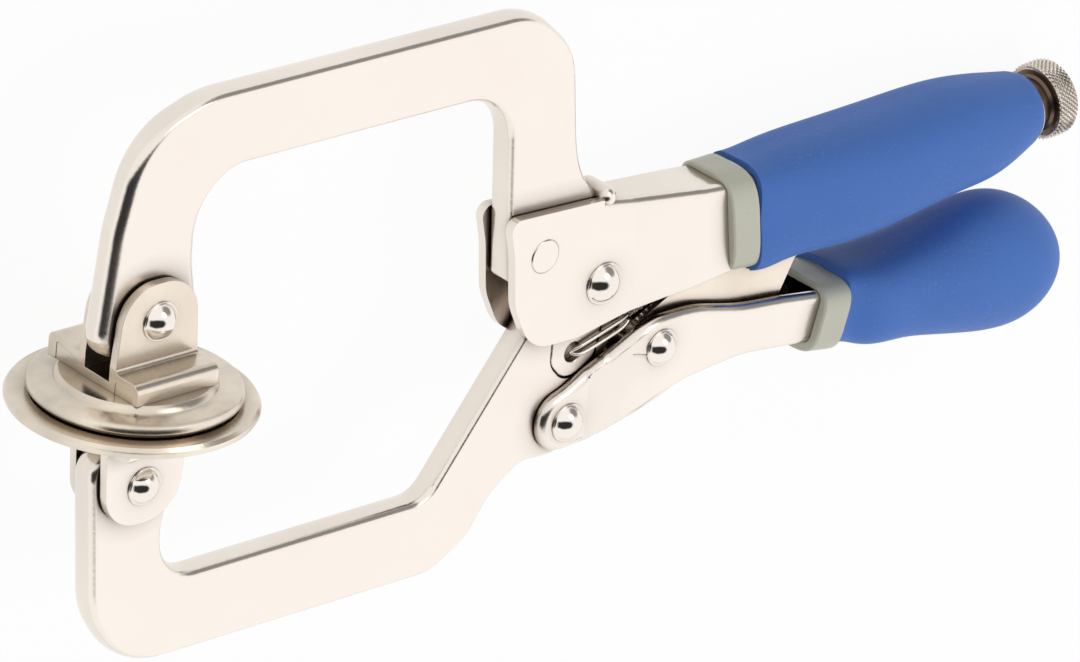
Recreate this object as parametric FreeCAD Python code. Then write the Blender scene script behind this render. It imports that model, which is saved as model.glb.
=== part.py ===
import FreeCAD, Part
import math
import os

# Locking face clamp with two swivel pads, lying on its side.
# Millimetres. +X runs from the pads to the adjusting knob, +Y from the lower arm to the
# upper arm, +Z through the thickness. The origin is the centre of the lower pad's face.
# A place is an (x, y) pair and an outline is a run of (x, y, corner radius) points.

V = FreeCAD.Vector
FAR = 300.0                        # beyond the end of every piece
AXIS_X = V(1, 0, 0)
AXIS_Y = V(0, 1, 0)
AXIS_Z = V(0, 0, 1)
ORIGIN = V(0, 0, 0)

# Places
JAW_PIVOT = (106.0, -2.0)
HANDLE_PIVOT = (100.6, -28.7)
LINK_PIVOT = (120.6, -17.6)
LINK_END = (160.0, 2.26)
UPPER_SWIVEL = (0.5, 15.7)
LOWER_SWIVEL = (0.0, -16.0)
FLUSH_RIVET = (90.7, 6.9)
SPRING_EYE = (102.3, -15.9)
ANCHOR_EYE = (144.0, -3.2)
BEAD_AT = (105.9, 14.6)
SCREW_KNOB = (223.7, 7.5)          # centre of the knob's outer rim
SCREW_TILT = 4.7                   # degrees

# Arms
ARM_HALF = 2.8                     # half the plate's thickness
ARM_EDGE = 0.9                     # rounding of the plate's edges
ARM_ROOT = 104.2                   # rear end of the upper arm, between the cheeks
LUG_FLOOR = 1.3                    # floor of the recess for the spring lug
LUG_GAP = 0.35                     # room round the lug in its recess
EYE_R = 1.9

# Handles, folded from one sheet
SHEET = 1.9
CHEEK_GAP = 0.3                    # room between an arm plate and a cheek
CHEEK_INNER = ARM_HALF + CHEEK_GAP
CHEEK_HALF = CHEEK_INNER + SHEET   # half width over the cheeks
BODY_REAR_HALF = 6.0               # half width over the upper handle at the grip
HANDLE_HALF = 6.9                  # half width over the lower handle behind the joggle
CROWN_R = 1.8                      # rounding along the upper handle's crown
BELLY_R = 1.8                      # rounding under the lower handle
HANDLE_END = SCREW_KNOB[0] - 11.7  # rear end of the upper handle's sheet
LOWER_HANDLE_END = 214.0
BEAD_R = 2.1
BEAD_LOW = -1.6
BEAD_HIGH = 3.0

# Rivets: shank, domed head, its rise, set head, its rise
JAW_RIVET = (3.5, 4.1, 2.6, 4.6, 1.5)
HANDLE_RIVET = (3.0, 3.7, 2.5, 4.0, 1.4)
LINK_RIVET = (2.6, 3.6, 2.4, 3.8, 1.4)
UPPER_YOKE_RIVET = (2.5, 3.7, 2.5, 3.8, 1.3)
LOWER_YOKE_RIVET = (2.5, 3.6, 2.4, 3.8, 1.3)
FLUSH_R = 3.3
FLUSH_RISE = 0.15
PIN_GAP = 0.05                     # running clearance of a pin in its hole
PIN_SEAT = 0.02                    # clearance of a set pin

# Toggle link, spacers, stop and spring
LINK_HALF = 3.9
LINK_SHEET = 1.4
LINK_TIP_R = 3.9
SPACER_R = 4.6
SPACER_GAP = 0.2
TONGUE_LOW = -3.2
TONGUE_HIGH = -1.6
ANCHOR_HALF = 0.9
ANCHOR_EYE_R = 1.2
SPRING_R = 1.75                    # middle of the wire in a turn
WIRE_R = 0.4
COIL_TURNS = 18
COIL_START = 14.6                  # distance of the first turn from the lug's eye
COIL_STOP = 4.2                    # distance of the last turn from the anchor's eye

# Pads and yokes
UPPER_PAD_R = 19.2
LOWER_PAD_R = 22.5
PAD_SHEET = 2.2
PAD_GAP = 0.3                      # between the two faces when the jaws are shut
PAD_EDGE = 0.7
BOSS_R = 14.4
BOSS_RISE = 1.4
PAD_RIVET_R = 2.0
YOKE_INNER = ARM_HALF + 0.55       # half the room between the ears
YOKE_SHEET = 1.7
YOKE_OUTER = YOKE_INNER + YOKE_SHEET
FLANGE_REACH = 11.2                # half width over the turned-down flanges
FLANGE_RISE = 3.8
FLANGE_BEND = 1.7
EAR_HALF = 9.1
EAR_TIP = 7.3                      # height of the ears over the swivel

# Adjusting screw and barrel
SCREW_R = 3.3
THREAD_ROOT = 2.8
THREAD = 2.0                       # pitch
TIP_GAP = 3.0                      # room ahead of the screw for the link's end as it swings
KNOB_R = 7.6
KNOB_LENGTH = 4.7
COLLAR_R = 5.6
COLLAR_LENGTH = 0.7
BARREL_R = 6.5
BARREL_LENGTH = 18.6
BARREL_FRONT = KNOB_LENGTH + COLLAR_LENGTH    # distances back from the knob's rim
BARREL_BACK = BARREL_FRONT + BARREL_LENGTH
NUT_R = 5.0
NUT_FRONT = BARREL_FRONT + 2.6
NUT_BACK = BARREL_BACK - 2.0
RING_R = 3.8
RING_BACK = BARREL_BACK + 5.2
RING_WIDTH = 1.2
RUN_GAP = 0.06

# Grips and bands
GRIP_START = 141.4
GRIP_END = SCREW_KNOB[0] - 6.7
UPPER_SEAM = (141.6, 3.0)          # a point on the seam between the band and the grip
UPPER_LEAN = 10.0                  # degrees
LOWER_GRIP_START = 164.0
LOWER_GRIP_END = 226.5
LOWER_SEAM = (166.0, -22.0)
LOWER_LEAN = -13.0
SLOT_HALF = LINK_HALF + 0.4        # half the slot along the upper grip for the link
SLOT_START = 130.0
SLOT_END = 182.0
SLOT_TOP = -2.0


# Outlines and plates
def half_angle(before, corner, after):
    """Return half the angle at a corner."""
    to_before = V(before[0] - corner[0], before[1] - corner[1], 0)
    to_after = V(after[0] - corner[0], after[1] - corner[1], 0)
    return to_before.getAngle(to_after) / 2.0


def corner_arc(before, corner, after, reach):
    """Return the start, middle and end of the arc that leaves each side at a reach."""
    to_before = V(before[0] - corner[0], before[1] - corner[1], 0).normalize()
    to_after = V(after[0] - corner[0], after[1] - corner[1], 0).normalize()
    half = half_angle(before, corner, after)
    radius = reach * math.tan(half)
    place = V(corner[0], corner[1], 0)
    inward = (to_before + to_after).normalize()
    centre = place + inward * (radius / math.sin(half))
    return place + to_before * reach, centre - inward * radius, place + to_after * reach


def outline(points):
    """Return a closed wire through (x, y, corner radius) points."""
    count = len(points)
    reaches = []
    for i, point in enumerate(points):
        half = half_angle(points[i - 1], point, points[(i + 1) % count])
        reaches.append(point[2] / math.tan(half) if point[2] > 0 else 0.0)
    # Two arcs that would meet on one side share its length
    for _ in range(3):
        for i in range(count):
            k = (i + 1) % count
            span = math.hypot(points[k][0] - points[i][0], points[k][1] - points[i][1])
            total = reaches[i] + reaches[k]
            if total > 0.98 * span:
                reaches[i] *= 0.97 * span / total
                reaches[k] *= 0.97 * span / total
    corners = []
    for i, point in enumerate(points):
        if point[2] > 0:
            corners.append(corner_arc(points[i - 1], point, points[(i + 1) % count], reaches[i]))
        else:
            sharp = V(point[0], point[1], 0)
            corners.append((sharp, None, sharp))
    edges = []
    for i, (start, middle, end) in enumerate(corners):
        if middle is not None:
            edges.append(Part.Arc(start, middle, end).toShape())
        following = corners[(i + 1) % count][0]
        if (following - end).Length > 1e-4:
            edges.append(Part.makeLine(end, following))
    return Part.Wire(edges)


def plate(points, low, high):
    """Return a flat plate with a rounded outline between two heights."""
    face = Part.Face(outline(points))
    face.translate(V(0, 0, low))
    return face.extrude(V(0, 0, high - low))


def plan_solid(stations, low, high):
    """Return a tall solid whose plan is given by (x, half width, radius) stations."""
    near = [(x, -half, r) for x, half, r in stations]
    far = [(x, half, r) for x, half, r in reversed(stations)]
    solid = Part.Face(outline(near + far)).extrude(V(0, 0, high - low))
    solid.rotate(ORIGIN, AXIS_X, -90)
    solid.translate(V(0, low, 0))
    return solid


def slab(start, end, half=20.0):
    """Return a tall block between two stations along X, with a half width in Z."""
    return Part.makeBox(end - start, 120.0, 2.0 * half, V(start, -60.0, -half))


def beyond(seam, lean, ahead):
    """Return a block on one side of a leaning seam; ahead is +1 toward the knob, else -1."""
    reach = 60.0
    block = Part.makeBox(reach, 90.0, 40.0, V(0.0 if ahead > 0 else -reach, -45.0, -20.0))
    block.rotate(ORIGIN, AXIS_Z, lean)
    block.translate(V(seam[0], seam[1], 0))
    return block


def drum(at, radius, low, high):
    """Return a cylinder along Z at an (x, y) place."""
    return Part.makeCylinder(radius, high - low, V(at[0], at[1], low), AXIS_Z)


def hole(at, radius):
    """Return the cutter of a hole along Z through everything."""
    return drum(at, radius, -15.0, 15.0)


def turned(profile, axis_point, axis_dir):
    """Turn a closed (radius, height) profile about an axis through a point."""
    points = [V(r, 0, h) for r, h in profile]
    points.append(points[0])
    solid = Part.Face(Part.makePolygon(points)).revolve(ORIGIN, AXIS_Z, 360)
    if solid.ShapeType != "Solid":
        solid = Part.Solid(solid)
    solid.Placement = FreeCAD.Placement(V(*axis_point), FreeCAD.Rotation(AXIS_Z, V(*axis_dir)))
    return solid


def soften(shape, radius, heights, keep):
    """Round the flat rim edges at the given heights that pass a test."""
    rim = []
    for edge in shape.Edges:
        flat = edge.BoundBox.ZLength < 1e-3
        level = any(abs(edge.Vertexes[0].Point.z - height) < 1e-4 for height in heights)
        if flat and level and keep(edge.BoundBox):
            rim.append(edge)
    return shape.makeFillet(radius, rim)


def largest(shape):
    """Return the largest solid of a shape, cleaned of seams left by cuts."""
    return max(shape.removeSplitter().Solids, key=lambda solid: solid.Volume)


def wire_rod(points, radius):
    """Return a round wire through a run of points, with ball corners."""
    parts = []
    for start, end in zip(points, points[1:]):
        parts.append(Part.makeCylinder(radius, (end - start).Length, start, end - start))
    for place in points[1:-1]:
        parts.append(Part.makeSphere(radius, place))
    return parts[0].fuse(parts[1:])


def cap(at, radius, rise, level, side):
    """Return a ball cap on a level; side is +1 for a cap that rises and -1 for one that hangs."""
    ball = (radius * radius + rise * rise) / (2.0 * rise)
    whole = Part.makeSphere(ball, V(at[0], at[1], level + side * (rise - ball)))
    ends = sorted((level, level + side * (rise + 1.0)))
    return whole.common(drum(at, radius, ends[0], ends[1]))


def domed_rivet(at, sizes, front, back):
    """Return a rivet with a domed head on the front level and a low set head on the back one."""
    shank, head, rise, tail, tail_rise = sizes
    body = drum(at, shank, back, front)
    return body.fuse([cap(at, head, rise, front, 1), cap(at, tail, tail_rise, back, -1)]).removeSplitter()


# Arms
def make_upper_arm():
    """Return the upper arm: one thick plate, riveted between the cheeks."""
    arm = plate([
        (-9.9, 7.9, 6.0), (-7.5, 33.0, 30.0), (-3.6, 49.8, 17.0), (10.5, 55.2, 20.0), (85.3, 55.2, 15.0),
        (95.9, 45.6, 14.0), (98.6, 27.0, 60.0), (100.0, 21.5, 30.0), (ARM_ROOT, 15.0, 0),
        (ARM_ROOT, 8.9, 1.0), (98.5, 5.8, 6.0), (94.5, 2.6, 3.0), (84.6, 1.2, 2.0), (80.0, 40.0, 10.5),
        (7.9, 40.0, 11.5), (8.3, 24.0, 20.0), (10.2, 14.0, 12.0), (9.9, 7.9, 6.0),
    ], -ARM_HALF, ARM_HALF)
    # The plate keeps sharp edges where it lies between the cheeks
    arm = soften(arm, ARM_EDGE, (-ARM_HALF, ARM_HALF), lambda box: box.YMax > 15.2 or box.XMax < 60)
    arm = arm.cut(hole(UPPER_SWIVEL, UPPER_YOKE_RIVET[0] + PIN_GAP))
    return arm.cut(hole(FLUSH_RIVET, FLUSH_R))


def lug_outline(room):
    """Return the spring lug's outline, drawn in by the room left round it."""
    corners = [(96.6, -8.0, 4.0), (96.7, -17.5, 4.5), (100.5, -21.6, 4.0), (107.6, -19.2, 4.5),
               (109.6, -9.0, 3.0), (103.0, -7.0, 2.0)]
    middle = (sum(x for x, y, r in corners) / len(corners), sum(y for x, y, r in corners) / len(corners))
    drawn = []
    for x, y, r in corners:
        reach = math.hypot(x - middle[0], y - middle[1])
        share = 1.0 - room / reach
        drawn.append((middle[0] + (x - middle[0]) * share, middle[1] + (y - middle[1]) * share, r * share))
    return drawn


def make_lower_arm():
    """Return the lower arm: the moving jaw, one thick plate with a recess for the spring lug."""
    arm = plate([
        (-10.6, -8.0, 6.0), (-9.7, -18.0, 40.0), (-7.5, -41.0, 17.0), (0.6, -53.7, 17.0),
        (72.6, -53.6, 10.0), (81.0, -48.6, 10.0), (87.0, -39.0, 30.0), (92.5, -35.7, 8.0),
        (100.4, -36.1, 6.0), (108.0, -30.6, 7.0), (107.9, -22.0, 8.0), (114.3, -10.5, 8.0),
        (114.2, 6.2, 8.0), (101.8, 6.2, 8.0), (69.4, -37.5, 6.0), (7.6, -37.5, 8.6), (7.3, -27.0, 12.0),
        (8.4, -20.5, 14.0), (11.2, -14.0, 12.0), (10.4, -8.0, 6.0),
    ], -ARM_HALF, ARM_HALF)
    arm = soften(arm, ARM_EDGE, (-ARM_HALF, ARM_HALF), lambda box: box.XMax < 92)
    arm = arm.cut(plate(lug_outline(0.0), LUG_FLOOR, ARM_HALF + 5.0))
    arm = arm.cut(hole(LOWER_SWIVEL, LOWER_YOKE_RIVET[0] + PIN_GAP))
    arm = arm.cut(hole(JAW_PIVOT, JAW_RIVET[0] + PIN_GAP))
    arm = arm.cut(hole(HANDLE_PIVOT, HANDLE_RIVET[0] + PIN_GAP))
    return largest(arm.cut(hole(SPRING_EYE, EYE_R)))


def make_spring_lug():
    """Return the small eye plate let into the jaw for the spring's hook."""
    return plate(lug_outline(LUG_GAP), LUG_FLOOR, ARM_HALF).cut(hole(SPRING_EYE, EYE_R))


# Handles
def make_upper_handle():
    """Return the upper handle's channel, and its filled outer form for what is fitted round it."""
    side = plate([
        (81.4, 15.6, 2.2), (83.4, 8.0, 20.0), (84.6, -2.0, 10.0), (89.4, -11.6, 8.0), (101.0, -11.7, 12.0),
        (113.5, -9.2, 20.0), (137.0, -6.3, 20.0), (HANDLE_END - 8.0, -1.2, 5.0), (HANDLE_END, 0.2, 0),
        (HANDLE_END, 12.8, 0), (190.0, 12.2, 20.0), (134.7, 11.3, 60.0), (112.0, 13.5, 20.0),
        (103.6, 14.9, 0),
    ], -9.0, 9.0)
    under_crown = plate([
        (60.0, -40.0, 0), (230.0, -40.0, 0), (230.0, 12.8 - SHEET, 0), (190.0, 12.2 - SHEET, 20.0),
        (134.7, 11.3 - SHEET, 60.0), (112.0, 13.5 - SHEET, 20.0), (103.6, 14.9 - SHEET, 0),
        (60.0, 14.9 - SHEET, 0),
    ], -9.0, 9.0)
    outer = side.common(plan_solid([(70.0, CHEEK_HALF, 0), (112.5, CHEEK_HALF, 20.0),
                                    (128.0, BODY_REAR_HALF, 20.0), (240.0, BODY_REAR_HALF, 0)], -20, 25))
    inner = under_crown.common(plan_solid([(70.0, CHEEK_INNER, 0), (112.5, CHEEK_INNER, 20.0),
                                           (128.0, BODY_REAR_HALF - SHEET, 20.0),
                                           (240.0, BODY_REAR_HALF - SHEET, 0)], -45, 25))
    closed = outer.common(slab(ARM_ROOT, FAR))
    crown = [edge for edge in closed.Edges if edge.BoundBox.YMin > 10.5 and edge.BoundBox.XLength > 0.5
             and edge.BoundBox.ZLength < 1.2 and abs(edge.BoundBox.Center.z) > CHEEK_HALF - 1.0]
    closed = closed.makeFillet(CROWN_R, crown)
    cheeks = outer.common(slab(60.0, ARM_ROOT))
    mouth = ARM_ROOT + SHEET
    channel = closed.cut(inner.common(slab(mouth, FAR))).fuse(cheeks).cut(slab(60.0, mouth, CHEEK_INNER))

    along = screw_direction()
    back = screw_point(-BARREL_BACK)
    barrel = Part.makeCylinder(BARREL_R, BARREL_LENGTH, back, along)
    bore = Part.makeCylinder(NUT_R, 2.0 * BARREL_LENGTH, back - along * 2.0, along)
    trim = slab(HANDLE_END - 6.0, FAR)
    channel = channel.cut(trim).fuse(barrel).cut(bore)
    channel = channel.cut(hole(JAW_PIVOT, JAW_RIVET[0])).cut(hole(FLUSH_RIVET, FLUSH_R))
    return largest(channel), closed.cut(trim).fuse(barrel)


def make_lower_handle():
    """Return the lower handle's channel with its joggled nose, and its filled outer form."""
    side = plate([
        (94.2, -24.4, 6.0), (100.3, -22.2, 8.0), (111.4, -15.8, 14.0), (118.0, -11.7, 14.0),
        (128.5, -11.5, 30.0), (141.0, -14.3, 40.0), (152.0, -15.3, 40.0), (175.0, -18.2, 30.0),
        (LOWER_HANDLE_END, -20.5, 0), (LOWER_HANDLE_END, -27.0, 0), (175.0, -27.4, 40.0),
        (158.0, -26.3, 30.0), (142.0, -24.8, 30.0), (127.0, -26.5, 30.0), (106.6, -34.2, 8.0),
        (94.2, -35.2, 6.6),
    ], -9.0, 9.0)
    over_belly = plate([
        (80.0, 10.0, 0), (80.0, -50.0, 0), (109.4, -50.0, 0), (111.6, -30.5, 3.0),
        (127.6, -26.3 + SHEET, 30.0), (142.0, -24.8 + SHEET, 30.0), (158.0, -26.3 + SHEET, 30.0),
        (175.0, -27.4 + SHEET, 40.0), (230.0, -26.8 + SHEET, 0), (230.0, 10.0, 0),
    ], -9.0, 9.0)
    filled = side.common(plan_solid([(85.0, CHEEK_HALF, 0), (105.4, CHEEK_HALF, 2.0),
                                     (108.6, HANDLE_HALF, 2.0), (240.0, HANDLE_HALF, 0)], -50, 10))
    inner = over_belly.common(plan_solid([(85.0, CHEEK_INNER, 0), (106.2, CHEEK_INNER, 1.0),
                                          (109.4, HANDLE_HALF - SHEET, 1.5),
                                          (240.0, HANDLE_HALF - SHEET, 0)], -60, 20))
    belly = [edge for edge in filled.Edges if edge.BoundBox.YMax < -25.0 and edge.BoundBox.XMin > 108.2
             and edge.BoundBox.XLength > 1 and abs(edge.BoundBox.Center.z) > HANDLE_HALF - 0.4]
    filled = filled.makeFillet(BELLY_R, belly)
    channel = filled.cut(inner)
    channel = channel.cut(hole(HANDLE_PIVOT, HANDLE_RIVET[0] + PIN_SEAT))
    return largest(channel.cut(hole(LINK_PIVOT, LINK_RIVET[0] + PIN_SEAT))), filled


def make_weld_bead(arm, channel):
    """Return the weld bead where the arm's root meets the crown."""
    run = drum(BEAD_AT, BEAD_R, BEAD_LOW, BEAD_HIGH)
    ends = [Part.makeSphere(BEAD_R, V(BEAD_AT[0], BEAD_AT[1], z)) for z in (BEAD_LOW, BEAD_HIGH)]
    return largest(run.fuse(ends).cut(channel).cut(arm))


def make_stop_tongue(channel):
    """Return the tongue inside the lower handle that the link rests against when it is shut."""
    tongue = plate([(155.8, -25.2, 0), (161.2, -25.4, 0), (161.0, -17.2, 2.5), (156.2, -17.0, 2.5)],
                   TONGUE_LOW, TONGUE_HIGH)
    return largest(tongue.cut(channel))


# Toggle
def make_toggle_link():
    """Return the link: deep cheeks joined by a floor, narrowed to a solid tip at the screw."""
    run = V(LINK_END[0] - LINK_PIVOT[0], LINK_END[1] - LINK_PIVOT[1], 0)
    tip = run.Length
    link = plate([
        (-5.6, -5.2, 5.0), (-5.6, 5.6, 5.0), (10.0, 6.0, 20.0), (24.0, 5.6, 12.0), (34.0, 3.9, 8.0),
        (tip + LINK_TIP_R, LINK_TIP_R, LINK_TIP_R - 0.1), (tip + LINK_TIP_R, -LINK_TIP_R, LINK_TIP_R - 0.1),
        (tip - 5.6, -4.2, 2.0), (tip - 8.8, -7.8, 1.0), (26.7, -14.5, 2.0), (16.2, -10.9, 20.0),
        (3.5, -7.3, 14.0),
    ], -LINK_HALF, LINK_HALF)
    hollow = plate([
        (-20.0, -4.0, 0), (0.0, -5.6, 2.0), (4.0, -6.0, 6.0), (16.0, -9.4, 20.0), (26.0, -12.8, 1.0),
        (tip - 10.2, -7.2, 1.0), (tip - 6.5, -2.4, 2.0), (tip - 6.5, 9.0, 0), (-20.0, 9.0, 0),
    ], LINK_SHEET - LINK_HALF, LINK_HALF - LINK_SHEET)
    link = link.cut(hollow).cut(hole((0.0, 0.0), LINK_RIVET[0] + PIN_GAP))
    link.rotate(ORIGIN, AXIS_Z, math.degrees(math.atan2(run.y, run.x)))
    link.translate(V(LINK_PIVOT[0], LINK_PIVOT[1], 0))
    return largest(link)


def make_spacers():
    """Return the two rings that centre the link between the lower handle's cheeks."""
    inner = LINK_HALF + SPACER_GAP
    outer = HANDLE_HALF - SHEET
    bore = hole(LINK_PIVOT, LINK_RIVET[0])
    return Part.makeCompound([drum(LINK_PIVOT, SPACER_R, low, high).cut(bore)
                              for low, high in ((inner, outer), (-outer, -inner))])


def make_spring_anchor(channel):
    """Return the hooked tab that hangs from the crown between the link's cheeks."""
    tab = plate([(139.0, 9.75, 0), (147.0, 9.75, 0), (146.6, -3.5, 2.0), (144.8, -6.2, 2.4),
                 (141.6, -5.6, 2.0), (141.2, -1.0, 2.0)], -ANCHOR_HALF, ANCHOR_HALF)
    return largest(tab.cut(hole(ANCHOR_EYE, ANCHOR_EYE_R)).cut(channel))


def make_return_spring():
    """Return the spring: a ribbed coil of close turns with a hook at each end."""
    run = V(ANCHOR_EYE[0] - SPRING_EYE[0], ANCHOR_EYE[1] - SPRING_EYE[1], 0)
    length = run.Length
    stop = length - COIL_STOP
    pitch = (stop - COIL_START) / COIL_TURNS
    crest = SPRING_R + WIRE_R
    valley = crest - 0.35
    bore = SPRING_R - WIRE_R
    profile = [(bore, COIL_START)]
    for turn in range(COIL_TURNS):
        profile.append((valley, COIL_START + pitch * turn))
        profile.append((crest, COIL_START + pitch * (turn + 0.5)))
    profile += [(valley, stop), (bore, stop)]
    coil = turned(profile, (0, 0, 0), (1, 0, 0))
    over = ARM_HALF + 2.0 * WIRE_R
    inside = SPRING_R - WIRE_R
    long_hook = wire_rod([V(COIL_START + 0.4, 0.9, inside), V(COIL_START - 1.6, 0.6, over - 0.05),
                          V(0.0, 0.0, over), V(-0.3, 0.0, 1.0)], WIRE_R + 0.05)
    short_hook = wire_rod([V(stop - 0.4, 0.9, inside), V(length, 0.0, inside + 0.15),
                           V(length, 0.0, -0.6)], WIRE_R)
    spring = coil.fuse([long_hook, short_hook])
    spring.rotate(ORIGIN, AXIS_Z, math.degrees(math.atan2(run.y, run.x)))
    spring.translate(V(SPRING_EYE[0], SPRING_EYE[1], 0))
    return largest(spring)


# Adjusting screw
def screw_direction():
    """Return the screw's direction, out of the handle toward the knob."""
    angle = math.radians(SCREW_TILT)
    return V(math.cos(angle), math.sin(angle), 0)


def screw_point(along):
    """Return the place on the screw's axis at a distance from the knob's rim."""
    return V(SCREW_KNOB[0], SCREW_KNOB[1], 0) + screw_direction() * along


def on_screw(profile):
    """Turn a (radius, distance from the knob's rim) profile about the screw's axis."""
    return turned(profile, (SCREW_KNOB[0], SCREW_KNOB[1], 0), tuple(screw_direction()))


def sleeve_ring(inner, outer, back, front):
    """Return a plain ring on the screw's axis between two distances from the knob's rim."""
    return on_screw([(inner, back), (outer, back), (outer, front), (inner, front)])


def make_screw():
    """Return the adjusting screw: threaded shank, collar and knob turned as one piece."""
    tip = (SCREW_KNOB[0] - LINK_END[0] - LINK_TIP_R - TIP_GAP) / math.cos(math.radians(SCREW_TILT))
    profile = [(0.0, -tip), (THREAD_ROOT - 0.6, -tip), (THREAD_ROOT, -tip + 0.8)]
    place = -tip + 0.8
    while place < -NUT_BACK - 4.0:
        # No thread stands where the retaining ring sits
        if place + THREAD < -RING_BACK or place > RING_WIDTH - RING_BACK:
            profile.append((SCREW_R, place + 0.45 * THREAD))
            profile.append((SCREW_R, place + 0.6 * THREAD))
        place += THREAD
        profile.append((THREAD_ROOT, place))
    profile += [(SCREW_R, place + THREAD), (SCREW_R, -BARREL_FRONT), (COLLAR_R - 0.4, -BARREL_FRONT),
                (COLLAR_R, -BARREL_FRONT + 0.4), (COLLAR_R, -KNOB_LENGTH), (KNOB_R - 0.7, -KNOB_LENGTH),
                (KNOB_R - 0.1, -KNOB_LENGTH + 0.7), (KNOB_R, -0.6), (KNOB_R - 0.6, 0.0),
                (KNOB_R - 1.7, 0.0), (KNOB_R - 2.1, -0.3), (0.0, -0.3)]
    return largest(on_screw(profile))


# Grips and bands
def section(x, low, high, half, power):
    """Return a closed curve across a handle at x: low and high in Y, half width in Z."""
    count = 20
    centre = (low + high) / 2.0
    rise = (high - low) / 2.0
    points = []
    for i in range(count):
        turn = 2.0 * math.pi * i / count
        up = math.cos(turn)
        out = math.sin(turn)
        points.append(V(x, centre + rise * math.copysign(abs(up) ** power, up),
                        half * math.copysign(abs(out) ** power, out)))
    curve = Part.BSplineCurve()
    curve.interpolate(Points=points, PeriodicFlag=True)
    return Part.Wire([curve.toShape()])


def sleeve(stations, lean=0.0, pivot=0.0):
    """Return a solid lofted through sections, tipped by the lean about the pivot's height."""
    wires = []
    for station in stations:
        wire = section(*station)
        wire.rotate(V(station[0], pivot, 0), AXIS_Z, lean)
        wires.append(wire)
    return Part.makeLoft(wires, True, len(wires) < 5)


def grip(start, end, shares):
    """Return a soft grip between two stations, from sections at shares of its length."""
    return sleeve([(start + share * (end - start), low, high, half, power)
                   for share, low, high, half, power in shares])


def make_upper_grip(filled):
    """Return the upper grip and its end band, fitted round the filled handle."""
    hug = BODY_REAR_HALF
    band = sleeve([(UPPER_SEAM[0] - 6.4, -7.3, 12.6, hug + 1.4, 0.55),
                   (UPPER_SEAM[0] - 6.1, -7.7, 12.9, hug + 1.7, 0.55),
                   (UPPER_SEAM[0] - 1.0, -8.0, 13.0, hug + 1.9, 0.55),
                   (UPPER_SEAM[0] - 0.2, -8.0, 13.0, hug + 1.9, 0.55)], UPPER_LEAN, UPPER_SEAM[1])
    soft = grip(GRIP_START, GRIP_END, [
        (0.0, -8.0, 13.0, hug + 1.9, 0.55), (0.114, -8.6, 13.6, hug + 2.8, 0.62),
        (0.312, -8.6, 14.6, hug + 3.9, 0.72), (0.537, -7.0, 15.5, hug + 4.3, 0.8),
        (0.722, -5.2, 16.1, hug + 3.8, 0.85), (0.841, -4.2, 15.4, hug + 3.0, 0.9),
        (0.934, -1.6, 14.4, hug + 1.8, 0.95), (1.0, 0.3, 13.9, hug + 0.9, 1.0)])
    slot = slab(SLOT_START, SLOT_END, SLOT_HALF)
    slot = slot.common(Part.makeBox(FAR, 60.0, 40.0, V(0.0, SLOT_TOP - 60.0, -20.0)))
    soft = soft.cut(beyond(UPPER_SEAM, UPPER_LEAN, -1)).cut(filled).cut(slot)
    band = band.cut(beyond(UPPER_SEAM, UPPER_LEAN, 1)).cut(filled).cut(slot)
    return largest(soft), largest(band)


def make_lower_grip(filled):
    """Return the lower grip and its end band, fitted round the filled handle."""
    hug = HANDLE_HALF
    band = sleeve([(LOWER_SEAM[0] - 6.4, -28.2, -15.4, hug + 1.6, 0.5),
                   (LOWER_SEAM[0] - 6.0, -28.6, -15.1, hug + 1.9, 0.5),
                   (LOWER_SEAM[0] - 1.0, -29.2, -15.2, hug + 2.2, 0.5),
                   (LOWER_SEAM[0] + 0.4, -29.3, -15.2, hug + 2.2, 0.5)], LOWER_LEAN, LOWER_SEAM[1])
    soft = grip(LOWER_GRIP_START, LOWER_GRIP_END, [
        (0.0, -29.2, -15.0, hug + 2.2, 0.5), (0.144, -30.6, -14.4, hug + 2.6, 0.62),
        (0.32, -32.4, -14.0, hug + 3.0, 0.75), (0.48, -34.4, -12.2, hug + 3.4, 0.85),
        (0.608, -36.2, -10.3, hug + 3.8, 0.92), (0.736, -37.5, -9.6, hug + 4.0, 0.97),
        (0.84, -37.2, -11.4, hug + 3.7, 1.0), (0.9216, -34.8, -14.6, hug + 2.1, 1.0),
        (0.976, -31.2, -18.4, hug - 0.7, 1.0), (1.0, -27.6, -22.0, hug - 4.1, 1.0)])
    soft = soft.cut(beyond(LOWER_SEAM, LOWER_LEAN, -1)).cut(filled)
    band = band.cut(beyond(LOWER_SEAM, LOWER_LEAN, 1)).cut(filled)
    return largest(soft), largest(band)


# Swivel pads
def pad_face(outward):
    """Return how far a pad's face stands from the origin."""
    return PAD_GAP if outward > 0 else 0.0


def make_disc(radius, across, outward):
    """Return a pressed disc with a raised round boss; outward is +1 up or -1 down."""
    sheet = PAD_SHEET
    top = sheet + BOSS_RISE
    profile = [(PAD_RIVET_R, 0.0), (radius - 0.5, 0.0), (radius, PAD_EDGE), (radius, sheet - 0.9),
               (radius - 0.3, sheet - 0.3), (radius - 0.9, sheet), (BOSS_R + 0.7, sheet),
               (BOSS_R + 0.15, sheet + 0.25), (BOSS_R - 0.25, top - 0.35), (BOSS_R - 0.8, top),
               (PAD_RIVET_R, top)]
    return turned(profile, (across, pad_face(outward) * outward, 0), (0, outward, 0))


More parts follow.
